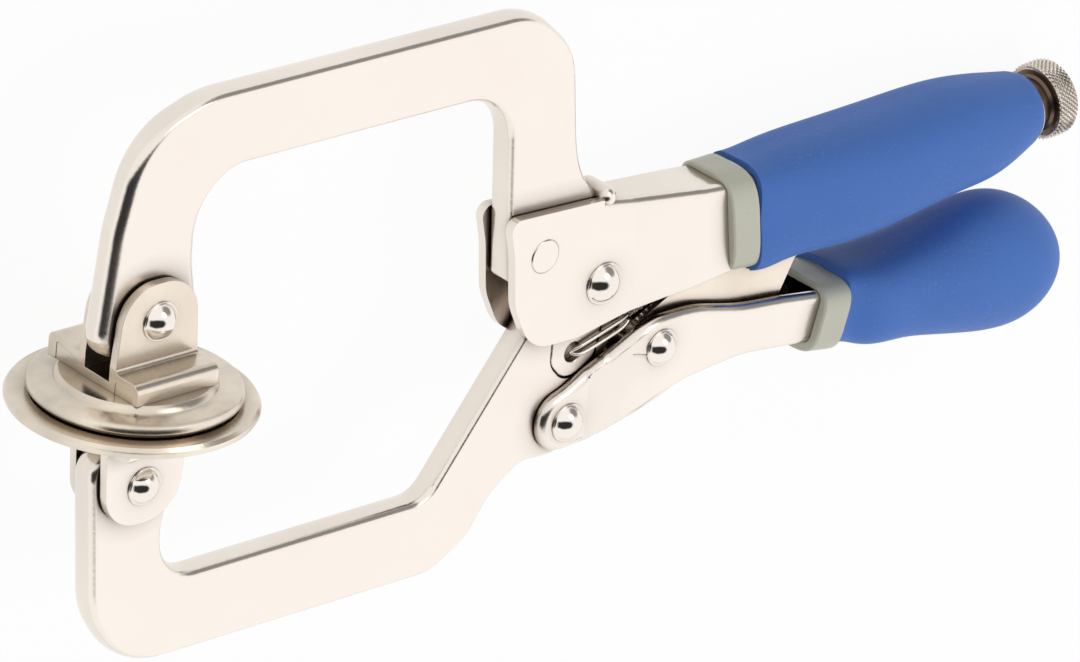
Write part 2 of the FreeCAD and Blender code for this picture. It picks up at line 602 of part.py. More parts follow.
def make_yoke(outward, swivel, pin_r):
    """Return a yoke of folded sheet: two ears on a floor, and flanges turned down to the boss."""
    base = PAD_SHEET + BOSS_RISE + pad_face(outward)
    top = base + FLANGE_RISE
    under = top - YOKE_SHEET + 0.1
    wall = FLANGE_REACH - YOKE_SHEET + 0.1
    tall = 30.0
    half = [
        (YOKE_INNER, base + YOKE_SHEET, 0), (YOKE_INNER, tall, 0), (YOKE_OUTER, tall, 0),
        (YOKE_OUTER, top, 0.8), (FLANGE_REACH, top, FLANGE_BEND), (FLANGE_REACH, base, 0),
        (wall, base, 0), (wall, under, 0.4), (YOKE_OUTER, under, 0.3), (YOKE_OUTER, base, 0),
    ]
    folded = Part.Face(outline(half + [(-z, y, r) for z, y, r in reversed(half)]))
    yoke = folded.extrude(V(0, 0, 2.0 * EAR_HALF))
    yoke.translate(V(0, 0, -EAR_HALF))
    yoke.rotate(ORIGIN, AXIS_Y, 90)
    height = abs(swivel[1])
    shoulder = height + EAR_TIP
    yoke = yoke.common(plate([
        (-EAR_HALF, 0.0, 0), (-EAR_HALF, top + 0.8, 3.0), (1.2 - EAR_HALF, shoulder, EAR_TIP + 0.4),
        (EAR_HALF - 1.2, shoulder, EAR_TIP + 0.4), (EAR_HALF, top + 0.8, 3.0), (EAR_HALF, 0.0, 0),
    ], -15.0, 15.0))
    yoke = yoke.cut(hole((0.0, height), pin_r))
    yoke = yoke.cut(Part.makeCylinder(PAD_RIVET_R, base + YOKE_SHEET, ORIGIN, AXIS_Y))
    if outward < 0:
        yoke = yoke.mirror(ORIGIN, AXIS_Y)
    yoke.translate(V(swivel[0], 0, 0))
    return largest(yoke)


def make_pad_rivet(across, outward):
    """Return the rivet that holds a yoke to its disc, flush with the pad's face."""
    face = pad_face(outward)
    seat = face + PAD_SHEET + BOSS_RISE + YOKE_SHEET
    profile = [(0, face), (PAD_RIVET_R, face), (PAD_RIVET_R, seat), (PAD_RIVET_R + 0.8, seat),
               (PAD_RIVET_R + 0.6, seat + 0.45), (PAD_RIVET_R - 0.4, seat + 0.7), (0, seat + 0.7)]
    return turned(profile, (across, 0, 0), (0, outward, 0))


nodes = {}
nodes["upper_arm"] = make_upper_arm()
nodes["lower_arm"] = make_lower_arm()
nodes["spring_lug"] = make_spring_lug()
nodes["upper_handle_channel"], upper_filled = make_upper_handle()
nodes["arm_weld_bead"] = make_weld_bead(nodes["upper_arm"], nodes["upper_handle_channel"])
nodes["arm_rivet"] = drum(FLUSH_RIVET, FLUSH_R, -CHEEK_HALF - FLUSH_RISE, CHEEK_HALF + FLUSH_RISE)
nodes["jaw_pivot_rivet"] = domed_rivet(JAW_PIVOT, JAW_RIVET, CHEEK_HALF, -CHEEK_HALF)
nodes["handle_pivot_rivet"] = domed_rivet(HANDLE_PIVOT, HANDLE_RIVET, CHEEK_HALF, -CHEEK_HALF)
nodes["link_rivet"] = domed_rivet(LINK_PIVOT, LINK_RIVET, HANDLE_HALF, -HANDLE_HALF)
nodes["lower_handle_channel"], lower_filled = make_lower_handle()
nodes["handle_stop_tongue"] = make_stop_tongue(nodes["lower_handle_channel"])
nodes["toggle_link"] = make_toggle_link()
nodes["link_spacers"] = make_spacers()
nodes["spring_anchor"] = make_spring_anchor(nodes["upper_handle_channel"])
nodes["return_spring"] = make_return_spring()
nodes["adjusting_screw"] = make_screw()
nodes["screw_nut"] = sleeve_ring(SCREW_R + RUN_GAP, NUT_R, -NUT_BACK, -NUT_FRONT)
nodes["screw_retaining_ring"] = sleeve_ring(THREAD_ROOT + PIN_GAP, RING_R, -RING_BACK, RING_WIDTH - RING_BACK)
nodes["upper_grip"], nodes["upper_grip_band"] = make_upper_grip(upper_filled)
nodes["lower_grip"], nodes["lower_grip_band"] = make_lower_grip(lower_filled)
for side, outward, radius, swivel, rivet in (
        ("upper", 1, UPPER_PAD_R, UPPER_SWIVEL, UPPER_YOKE_RIVET),
        ("lower", -1, LOWER_PAD_R, LOWER_SWIVEL, LOWER_YOKE_RIVET)):
    nodes[side + "_pad_disc"] = make_disc(radius, swivel[0], outward)
    nodes[side + "_yoke"] = make_yoke(outward, swivel, rivet[0])
    nodes[side + "_pad_rivet"] = make_pad_rivet(swivel[0], outward)
    nodes[side + "_yoke_rivet"] = domed_rivet(swivel, rivet, YOKE_OUTER, -YOKE_OUTER)

# Write the nodes
os.makedirs("parts", exist_ok=True)
for name, shape in nodes.items():
    shape.exportStep("parts/" + name + ".step")
    box = shape.BoundBox
    print(name, shape.isValid(), len(shape.Solids), round(shape.Volume, 1),
          [round(v, 2) for v in (box.XMin, box.XMax, box.YMin, box.YMax, box.ZMin, box.ZMax)])
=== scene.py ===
"""Looks of a locking face clamp with swivel pads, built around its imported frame.

Sizes in the classes are millimetres. A finished mesh is in metres, in the frame's own axes: +X from
the pads to the knob, +Y from the lower arm to the upper arm, +Z through the thickness.
"""

from __future__ import annotations

import logging
import math
from collections.abc import Callable, Sequence
from dataclasses import dataclass, field
from enum import Enum

import bmesh
import bpy
from mathutils import Matrix, Vector

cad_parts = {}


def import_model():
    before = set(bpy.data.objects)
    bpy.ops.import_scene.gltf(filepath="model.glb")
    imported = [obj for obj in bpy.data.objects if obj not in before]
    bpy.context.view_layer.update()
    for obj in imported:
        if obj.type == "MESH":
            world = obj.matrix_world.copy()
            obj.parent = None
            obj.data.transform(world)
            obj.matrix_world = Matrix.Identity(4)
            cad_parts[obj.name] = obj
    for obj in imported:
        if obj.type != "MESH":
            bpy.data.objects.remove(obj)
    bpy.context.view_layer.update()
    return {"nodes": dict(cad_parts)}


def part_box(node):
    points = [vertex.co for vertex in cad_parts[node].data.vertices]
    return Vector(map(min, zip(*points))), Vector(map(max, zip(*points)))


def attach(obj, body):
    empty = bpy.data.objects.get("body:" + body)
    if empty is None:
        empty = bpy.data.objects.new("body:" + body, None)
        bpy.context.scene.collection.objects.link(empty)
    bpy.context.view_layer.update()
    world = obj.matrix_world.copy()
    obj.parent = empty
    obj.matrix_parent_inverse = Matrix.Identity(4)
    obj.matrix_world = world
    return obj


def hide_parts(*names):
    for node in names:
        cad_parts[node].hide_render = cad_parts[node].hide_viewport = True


MM = 0.001
FLAT = math.radians(0.4)
LOOSE = 1e-6
WHITE = (1.0, 1.0, 1.0, 1.0)
KNOB_RIM = (223.7, 7.5)
SCREW_TILT = 4.7
LOG = logging.getLogger("clamp")

Point = tuple[float, float]
Triple = tuple[float, float, float]
Mesh = bmesh.types.BMesh
Material = bpy.types.Material
Node = bpy.types.Node
Tree = bpy.types.NodeTree
Socket = bpy.types.NodeSocket
Piece = bpy.types.Object
Shaper = Callable[[Mesh], None]


class Slot(Enum):
    """The record's material slots."""

    PLATED = "plated_steel"
    PAD = "pad_nickel"
    CHROME = "rivet_chrome"
    GRIP = "grip_blue"
    BAND = "band_grey"
    SPRING = "spring_steel"


class Body(Enum):
    """The moving bodies of the clamp."""

    FRAME = "frame"
    LOWER_JAW = "lower_jaw"
    LOWER_HANDLE = "lower_handle"
    LINK = "toggle_link"
    CARRIER = "screw_carrier"
    SCREW = "screw"
    UPPER_PAD = "upper_pad"
    LOWER_PAD = "lower_pad"


@dataclass
class Graph:
    """A node tree that is written one node at a time."""

    tree: Tree

    def add(self, kind: str, values: dict[str, object] | None = None, **settings: object) -> Node:
        """Add a node.

        Args:
            kind: The node's type name.
            values: Input socket names with a value, or with a socket that feeds them.
            settings: Properties of the node itself.

        Returns:
            The new node.
        """
        node = self.tree.nodes.new(kind)
        for name, value in settings.items():
            setattr(node, name, value)
        for name, value in (values or {}).items():
            self.feed(node.inputs[name], value)
        return node

    def feed(self, socket: Socket, value: object) -> None:
        """Give a socket a value, or a link from another socket.

        Args:
            socket: The input socket.
            value: A plain value, or the output socket that feeds it.
        """
        if isinstance(value, bpy.types.NodeSocket):
            self.tree.links.new(value, socket)
        else:
            socket.default_value = value

    def math(self, operation: str, *terms: object) -> Socket:
        """Add a maths node.

        Args:
            operation: The node's operation.
            terms: Up to three values or sockets.

        Returns:
            The result's socket.
        """
        node = self.add("ShaderNodeMath", operation=operation)
        for socket, term in zip(node.inputs, terms):
            self.feed(socket, term)
        return node.outputs[0]

    def ramp(self, factor: Socket, stops: Sequence[Point]) -> Socket:
        """Return a grey ramp of a factor.

        Args:
            factor: The value that is mapped.
            stops: Positions, each with its grey value.

        Returns:
            The mapped colour socket.
        """
        node = self.add("ShaderNodeValToRGB", {"Fac": factor})
        elements = node.color_ramp.elements
        while len(elements) < len(stops):
            elements.new(0.5)
        for element, (position, grey) in zip(elements, stops):
            element.position = position
            element.color = (grey, grey, grey, 1.0)
        return node.outputs["Color"]

    def step(self, value: object, low: float, high: float) -> Socket:
        """Return a smooth step of a value, from 0 at low to 1 at high."""
        node = self.add("ShaderNodeMapRange", {"Value": value, "From Min": low, "From Max": high},
                        interpolation_type="SMOOTHSTEP")
        return node.outputs["Result"]

    def mix(self, factor: object, first: object, second: object) -> Socket:
        """Add a blend of two colours.

        Args:
            factor: The share of the second colour.
            first: The first colour, or the socket that feeds it.
            second: The second colour.

        Returns:
            The blend's socket.
        """
        node = self.add("ShaderNodeMix", data_type="RGBA")
        self.feed(node.inputs[0], factor)
        self.feed(node.inputs[6], first)
        self.feed(node.inputs[7], second)
        return node.outputs[2]

    def blend(self, factor: Socket, first: Socket, second: Socket) -> Socket:
        """Add a blend of two shaders.

        Args:
            factor: The share of the second shader.
            first: The first shader.
            second: The second shader.

        Returns:
            The blend's socket.
        """
        node = self.add("ShaderNodeMixShader", {"Fac": factor})
        self.feed(node.inputs[1], first)
        self.feed(node.inputs[2], second)
        return node.outputs[0]


def new_group(name: str, inputs: dict[str, object], outputs: Sequence[str]) -> tuple[Graph, Node, Node]:
    """Start a shader node group.

    Args:
        name: The group's name.
        inputs: Socket names, each with its default value: a number or a colour.
        outputs: Socket names. One that is called Color is a colour, the others are numbers.

    Returns:
        The group's graph, and its input and output nodes.
    """
    tree = bpy.data.node_groups.new(name, "ShaderNodeTree")
    for label, value in inputs.items():
        kind = "NodeSocketColor" if isinstance(value, tuple) else "NodeSocketFloat"
        tree.interface.new_socket(label, in_out="INPUT", socket_type=kind).default_value = value
    for label in outputs:
        kind = "NodeSocketColor" if label == "Color" else "NodeSocketFloat"
        tree.interface.new_socket(label, in_out="OUTPUT", socket_type=kind)
    graph = Graph(tree)
    return graph, graph.add("NodeGroupInput"), graph.add("NodeGroupOutput")


def tone_group() -> Tree:
    """Return the group that lets a colour drift slowly over a surface."""
    graph, start, end = new_group(
        "tone_drift",
        {"Color": (0.8, 0.8, 0.8, 1.0), "Other": (0.7, 0.7, 0.7, 1.0), "Scale": 40.0, "Amount": 0.5},
        ["Color", "Mask"])
    place = graph.add("ShaderNodeTexCoord").outputs["Object"]
    cloud = graph.add("ShaderNodeTexNoise", {"Vector": place, "Scale": start.outputs["Scale"], "Detail": 4.0,
                                             "Roughness": 0.55})
    mask = graph.ramp(cloud.outputs["Fac"], [(0.32, 0.0), (0.68, 1.0)])
    amount = graph.math("MULTIPLY", mask, start.outputs["Amount"])
    graph.feed(end.inputs["Color"], graph.mix(amount, start.outputs["Color"], start.outputs["Other"]))
    graph.feed(end.inputs["Mask"], amount)
    return graph.tree


def grain_group() -> Tree:
    """Return the group that gives a fine grain as a height and a mask."""
    graph, start, end = new_group("fine_grain", {"Scale": 900.0, "Detail": 3.0}, ["Height", "Speck"])
    place = graph.add("ShaderNodeTexCoord").outputs["Object"]
    fine = graph.add("ShaderNodeTexNoise", {"Vector": place, "Scale": start.outputs["Scale"],
                                            "Detail": start.outputs["Detail"], "Roughness": 0.6})
    coarse = graph.math("MULTIPLY", start.outputs["Scale"], 0.23)
    broad = graph.add("ShaderNodeTexNoise", {"Vector": place, "Scale": coarse, "Detail": 2.0})
    total = graph.math("ADD", graph.math("MULTIPLY", fine.outputs["Fac"], 0.7),
                       graph.math("MULTIPLY", broad.outputs["Fac"], 0.3))
    graph.feed(end.inputs["Height"], total)
    graph.feed(end.inputs["Speck"], graph.ramp(fine.outputs["Fac"], [(0.6, 0.0), (0.72, 1.0)]))
    return graph.tree


def crease_shade_group() -> Tree:
    """Return the group that tells how deep in creases or under another piece a surface lies; the finishes
    paint shade there with it.
    """
    graph, start, end = new_group("crease_shade_mask", {"Reach": 0.003, "Low": 0.3, "High": 0.96}, ["Crease"])
    near = graph.add("ShaderNodeAmbientOcclusion", {"Distance": start.outputs["Reach"]}, samples=2)
    open_part = graph.step(near.outputs["AO"], start.outputs["Low"], start.outputs["High"])
    graph.feed(end.inputs["Crease"], graph.math("SUBTRACT", 1.0, open_part))
    return graph.tree


def edge_group() -> Tree:
    """Return the group that tells a sheet's rolled faces from its cut or bent edges."""
    graph, start, end = new_group("edge_mask", {"Sharpness": 6.0}, ["Edge"])
    normal = graph.add("ShaderNodeTexCoord").outputs["Normal"]
    parts = graph.add("ShaderNodeSeparateXYZ", {"Vector": normal})
    upright = graph.math("ABSOLUTE", parts.outputs["Z"])
    power = graph.math("POWER", upright, start.outputs["Sharpness"])
    graph.feed(end.inputs["Edge"], graph.math("SUBTRACT", 1.0, power))
    return graph.tree


@dataclass
class Effects:
    """The shader groups that several finishes share."""

    tone: Tree = field(default_factory=tone_group)
    grain: Tree = field(default_factory=grain_group)
    edge: Tree = field(default_factory=edge_group)
    crease_shade: Tree = field(default_factory=crease_shade_group)


@dataclass
class Coat:
    """A finish's material while it is written."""

    effects: Effects
    graph: Graph
    shader: Node
    tone: Node

    def feed(self, name: str, value: object) -> None:
        """Give one of the shader's inputs a value or a link."""
        self.graph.feed(self.shader.inputs[name], value)

    def grain(self, scale: float, detail: float) -> Node:
        """Add the fine grain and return its node."""
        values = {"Scale": scale, "Detail": detail}
        return self.graph.add("ShaderNodeGroup", values, node_tree=self.effects.grain)

    def bump(self, height: Socket, strength: float, depth: float) -> None:
        """Raise a share of a height on the surface; its full depth is in metres."""
        node = self.graph.add("ShaderNodeBump", {"Height": height, "Strength": strength, "Distance": depth})
        self.feed("Normal", node.outputs["Normal"])


@dataclass(frozen=True)
class Finish:
    """What every finish has: a slot, two tones that drift into each other and a roughness."""

    slot: Slot
    color: Triple
    other: Triple
    roughness: float
    drift_scale: float = 30.0
    drift: float = 0.5

    def build(self, effects: Effects) -> Material:
        """Build the material.

        Args:
            effects: The shared groups.

        Returns:
            The material.
        """
        material = bpy.data.materials.new(self.slot.value)
        material.use_nodes = True
        graph = Graph(material.node_tree)
        tones = {"Color": (*self.color, 1.0), "Other": (*self.other, 1.0), "Scale": self.drift_scale,
                 "Amount": self.drift}
        tone = graph.add("ShaderNodeGroup", tones, node_tree=effects.tone)
        coat = Coat(effects, graph, material.node_tree.nodes["Principled BSDF"], tone)
        coat.feed("Base Color", tone.outputs["Color"])
        coat.feed("Roughness", self.roughness)
        self.dress(coat)
        return material

    def dress(self, coat: Coat) -> None:
        """Add what a finish has of its own to its material."""
        raise NotImplementedError


@dataclass(frozen=True)
class PlatedSteel(Finish):
    """Nickel plated steel: satin on the rolled faces, glossier, dimpled and partly painted darker on the
    edges, with painted shade in creases.
    """

    # The edges' tone: partly the cut edges' own darker nickel, partly painted shade for the darker
    # reflections the edges show.
    edge_color_and_shade: Triple = (0.60, 0.54, 0.48)
    edge_roughness: float = 0.14
    edge_drift: float = 0.8
    cloud_roughness: float = 0.06
    # Painted shade in creases and under other pieces: its colour, its share and its reach.
    crease_shade_color: Triple = (0.16, 0.115, 0.085)
    crease_shade: float = 0.9
    crease_shade_reach: float = 0.005
    spangle: float = 2.5
    dimple_scale: float = 1200.0
    dimple: float = 0.35
    face_dimple: float = 0.2
    dimple_depth: float = 0.00008

    def dress(self, coat: Coat) -> None:
        """Add the edges, the painted shade in creases and the dimples; the edges' darker tone is partly
        painted shade.

        Args:
            coat: The material.
        """
        graph, mask = coat.graph, coat.tone.outputs["Mask"]
        edge = graph.add("ShaderNodeGroup", node_tree=coat.effects.edge).outputs["Edge"]
        # Partly painted shade: the cut and bent edges take a darker tone than the rolled faces.
        worn = tuple(self.edge_drift * part for part in self.edge_color_and_shade)
        edge_tone_and_shade = graph.mix(mask, (*self.edge_color_and_shade, 1.0), (*worn, 1.0))
        color = graph.mix(edge, coat.tone.outputs["Color"], edge_tone_and_shade)
        # Painted shade: the base colour darkens towards a dark brown where ambient occlusion finds the
        # surface in a crease or under another piece.
        near = graph.add("ShaderNodeGroup", {"Reach": self.crease_shade_reach}, node_tree=coat.effects.crease_shade)
        share = graph.math("MULTIPLY", near.outputs["Crease"], self.crease_shade)
        coat.feed("Base Color", graph.mix(share, color, (*self.crease_shade_color, 1.0)))
        span = graph.math("MULTIPLY", edge, self.edge_roughness - self.roughness)
        rough = graph.math("ADD", span, self.roughness)
        cloud = graph.math("MULTIPLY", mask, self.cloud_roughness)
        coat.feed("Roughness", graph.math("ADD", rough, cloud))
        coat.feed("Metallic", 1.0)
        share = graph.math("MULTIPLY", edge, 1.0 - self.face_dimple)
        share = graph.math("ADD", share, self.face_dimple)
        turning = graph.math("MULTIPLY", edge, graph.math("SUBTRACT", 1.0, edge))
        share = graph.math("ADD", share, graph.math("MULTIPLY", turning, self.spangle))
        grain = coat.grain(self.dimple_scale, 3.0)
        height = graph.math("MULTIPLY", grain.outputs["Height"], share)
        coat.bump(height, self.dimple, self.dimple_depth)


@dataclass(frozen=True)
class Chrome(Finish):
    """Polished plate with the faintest ripple."""

    ripple: float = 0.05
    ripple_scale: float = 260.0
    ripple_depth: float = 0.0001

    def dress(self, coat: Coat) -> None:
        """Make the surface metal and let it ripple."""
        coat.feed("Metallic", 1.0)
        coat.bump(coat.grain(self.ripple_scale, 1.0).outputs["Height"], self.ripple, self.ripple_depth)


@dataclass(frozen=True)
class SoftRubber(Finish):
    """Soft moulded rubber with a pebbled skin and pale specks in patches."""

    pebble_scale: float = 1500.0
    pebble: float = 0.3
    pebble_depth: float = 0.00008
    speck_color: Triple = (0.20, 0.33, 0.62)
    speck_share: float = 0.35
    speck_gloss: float = 0.1
    sheen: float = 0.0
    sheen_roughness: float = 0.4

    def dress(self, coat: Coat) -> None:
        """Add the pale specks, the pebbled skin and a faint sheen.

        Args:
            coat: The material.
        """
        graph, grain = coat.graph, coat.grain(self.pebble_scale, 2.0)
        # Pale specks in random patches, a little glossier than the rest.
        specks = graph.math("MULTIPLY", grain.outputs["Speck"], coat.tone.outputs["Mask"])
        share = graph.math("MULTIPLY", specks, self.speck_share)
        coat.feed("Base Color", graph.mix(share, coat.tone.outputs["Color"], (*self.speck_color, 1.0)))
        spread = graph.math("MULTIPLY", grain.outputs["Speck"], self.speck_gloss)
        coat.feed("Roughness", graph.math("SUBTRACT", self.roughness, spread))
        coat.feed("Sheen Weight", self.sheen)
        coat.feed("Sheen Roughness", self.sheen_roughness)
        coat.bump(grain.outputs["Height"], self.pebble, self.pebble_depth)


@dataclass
class Palette:
    """Every finish of the clamp, built once."""

    effects: Effects = field(default_factory=Effects)
    made: dict[Slot, Material] = field(default_factory=dict)
    dark_neck: Material = field(init=False)

    FINISHES = (
        PlatedSteel(Slot.PLATED, (0.93, 0.86, 0.79), (0.90, 0.81, 0.74), 0.28,
                    edge_color_and_shade=(0.86, 0.79, 0.71)),
        PlatedSteel(Slot.PAD, (0.90, 0.81, 0.70), (0.78, 0.68, 0.57), 0.24, 60.0, 0.8,
                    edge_color_and_shade=(0.82, 0.73, 0.61), edge_roughness=0.2, edge_drift=0.62, crease_shade=0.5,
                    crease_shade_reach=0.0025),
        Chrome(Slot.CHROME, (0.88, 0.82, 0.76), (0.80, 0.75, 0.69), 0.10),
        SoftRubber(Slot.GRIP, (0.054, 0.160, 0.50), (0.044, 0.137, 0.45), 0.6, 22.0, 0.8, sheen=0.06),
        SoftRubber(Slot.BAND, (0.52, 0.52, 0.43), (0.46, 0.46, 0.37), 0.35, pebble=0.1,
                   speck_color=(0.6, 0.6, 0.5)),
        PlatedSteel(Slot.SPRING, (0.86, 0.81, 0.75), (0.66, 0.61, 0.55), 0.22, 80.0, 0.6,
                    edge_color_and_shade=(0.84, 0.78, 0.71), edge_roughness=0.18, crease_shade=0.3),
    )
    # A dark brown steel for the screw's neck and the knob's inner face.
    DARK_NECK = PlatedSteel(Slot.PLATED, (0.17, 0.12, 0.09), (0.12, 0.09, 0.065), 0.3, 90.0, 0.6,
                        edge_color_and_shade=(0.17, 0.12, 0.09), edge_roughness=0.3)

    def __post_init__(self) -> None:
        """Build each finish."""
        for finish in self.FINISHES:
            self.made[finish.slot] = finish.build(self.effects)
        self.dark_neck = self.DARK_NECK.build(self.effects)
        self.dark_neck.name = "dark_neck_steel"


def ball_cap(radius: float, rise: float, steps: int) -> list[Point]:
    """Return a dome's profile as (radius, height) points from its rim to its top.

    Args:
        radius: The rim's radius.
        rise: The dome's height.
        steps: How many chords the arc has.

    Returns:
        The points, rim first.
    """
    ball = (radius * radius + rise * rise) / (2.0 * rise)
    reach = math.asin(min(1.0, radius / ball))
    turns = [reach * (1 - i / steps) for i in range(steps + 1)]
    return [(ball * math.sin(turn), ball * math.cos(turn) - ball + rise) for turn in turns]


def smooth(share: float) -> float:
    """Return a smooth step that rises from 0 to 1 as the share does."""
    share = min(1.0, max(0.0, share))
    return share * share * (3.0 - 2.0 * share)


def turned_mesh(profile: Sequence[Point], steps: int, merge: float = 1e-4) -> Mesh:
    """Spin a (radius, height) profile about +Z.

    Args:
        profile: The profile; it starts and ends on the axis, or is closed.
        steps: Segments round the axis.
        merge: How near two points become one.

    Returns:
        The closed mesh.
    """
    bm = bmesh.new()
    verts = [bm.verts.new((r, 0, h)) for r, h in profile]
    edges = [bm.edges.new(pair) for pair in zip(verts, verts[1:])]
    on_axis = max(profile[0][0], profile[-1][0]) < LOOSE
    if not on_axis:
        edges.append(bm.edges.new((verts[-1], verts[0])))
    bmesh.ops.spin(bm, geom=verts + edges, cent=(0, 0, 0), axis=(0, 0, 1), angle=math.tau, steps=steps,
                   use_merge=True, dvec=(0, 0, 0))
    bmesh.ops.remove_doubles(bm, verts=bm.verts[:], dist=merge)
    bmesh.ops.recalc_face_normals(bm, faces=bm.faces[:])
    return bm


def aimed(at: Sequence[float], toward: Sequence[float]) -> Matrix:
    """Return the matrix that takes +Z at the origin to a direction at a point."""
    turn = Vector((0, 0, 1)).rotation_difference(Vector(toward)).to_matrix().to_4x4()
    return Matrix.Translation(Vector(at)) @ turn


def cut_across(bm: Mesh, axis: Triple, places: Sequence[float]) -> None:
    """Cut a mesh's faces where they cross planes, without taking anything away.

    Args:
        bm: The mesh, in metres.
        axis: The planes' common normal.
        places: Where each plane stands along it, in millimetres.
    """
    for place in places:
        geometry = bm.verts[:] + bm.edges[:] + bm.faces[:]
        bmesh.ops.bisect_plane(bm, geom=geometry, dist=1e-7, plane_co=Vector(axis) * (place * MM),
                               plane_no=axis)


def mesh_from(bm: Mesh, name: str) -> bpy.types.Mesh:
    """Turn a bmesh, which is freed, into a named mesh."""
    mesh = bpy.data.meshes.new(name)
    bm.to_mesh(mesh)
    bm.free()
    return mesh


def in_scene(name: str, data: bpy.types.ID) -> Piece:
    """Put a new object into the scene and return it."""
    obj = bpy.data.objects.new(name, data)
    bpy.context.scene.collection.objects.link(obj)
    return obj


@dataclass
class Workshop:
    """Turns meshes into pieces: places, names, dresses and mounts them."""

    palette: Palette
    nodes: dict[str, Piece]
    chords: int = 2
    corner: float = 38.0

    def piece(self, bm: Mesh, name: str, slot: Slot, body: Body, replaced: Sequence[str] = (),
              sharp: float = 32.0, scale: float = MM) -> Piece:
        """Make a piece from a mesh, dress it, put it on its body and report it.

        Args:
            bm: The mesh; it is freed.
            name: The piece's name.
            slot: The material slot it takes.
            body: The body it rides on.
            replaced: The frame's nodes it stands for.
            sharp: The angle in degrees past which an edge stays sharp.
            scale: The factor from the mesh's units to metres.

        Returns:
            The finished object.
        """
        bmesh.ops.scale(bm, vec=(scale, scale, scale), verts=bm.verts[:])
        for face in bm.faces:
            face.smooth = True
        mesh = mesh_from(bm, name)
        for old in [a for a in mesh.attributes if "normal" in a.name]:
            mesh.attributes.remove(old)
        mesh.set_sharp_from_angle(angle=math.radians(sharp))
        mesh.materials.append(self.palette.made[slot])
        obj = in_scene(name, mesh)
        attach(obj, body.value)
        if replaced:
            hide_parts(*replaced)
        LOG.info("built %s on %s", name, body.value)
        return obj

    def merged(self, node: str) -> Mesh:
        """Copy a frame node's mesh and join its loose triangles.

        Args:
            node: The frame's node.

        Returns:
            The copy, in metres.
        """
        bm = bmesh.new()
        bm.from_mesh(self.nodes[node].data)
        bmesh.ops.remove_doubles(bm, verts=bm.verts[:], dist=LOOSE)
        bmesh.ops.dissolve_degenerate(bm, edges=bm.edges[:], dist=LOOSE)
        return bm

    def flattened(self, bm: Mesh) -> Mesh:
        """Join the faces of a mesh that lie in one plane, and return it."""
        bmesh.ops.dissolve_limit(bm, angle_limit=FLAT, verts=bm.verts[:], edges=bm.edges[:])
        return bm

    def soften(self, obj: Piece, width: float) -> None:
        """Round an object's corners and keep its flat faces evenly shaded.

        Args:
            obj: The object.
            width: The rounding's width in millimetres.
        """
        bevel = obj.modifiers.new("edge", "BEVEL")
        bevel.width = width * MM
        bevel.segments = self.chords
        bevel.limit_method = "ANGLE"
        bevel.angle_limit = math.radians(self.corner)
        bevel.use_clamp_overlap = True
        self.even(obj)

    def even(self, obj: Piece) -> None:
        """Shade an object's flat faces evenly up to its sharp edges."""
        obj.modifiers.new("even", "WEIGHTED_NORMAL").keep_sharp = True


@dataclass
class FramePart:
    """A piece that keeps its solid's form but for softened edges and its own shaping."""

    node: str
    body: Body
    slot: Slot = Slot.PLATED
    edge: float = 0.0
    sharp: float = 32.0
    shape: Shaper | None = None

    def build(self, shop: Workshop) -> None:
        """Copy the solid, shape and soften the copy, and mount it.

        Args:
            shop: The workshop.
        """
        bm = shop.merged(self.node)
        if self.shape:
            self.shape(bm)
        obj = shop.piece(shop.flattened(bm), self.node + "_finished", self.slot, self.body, [self.node],
                         self.sharp, scale=1.0)
        if self.edge > 0.0:
            shop.soften(obj, self.edge)


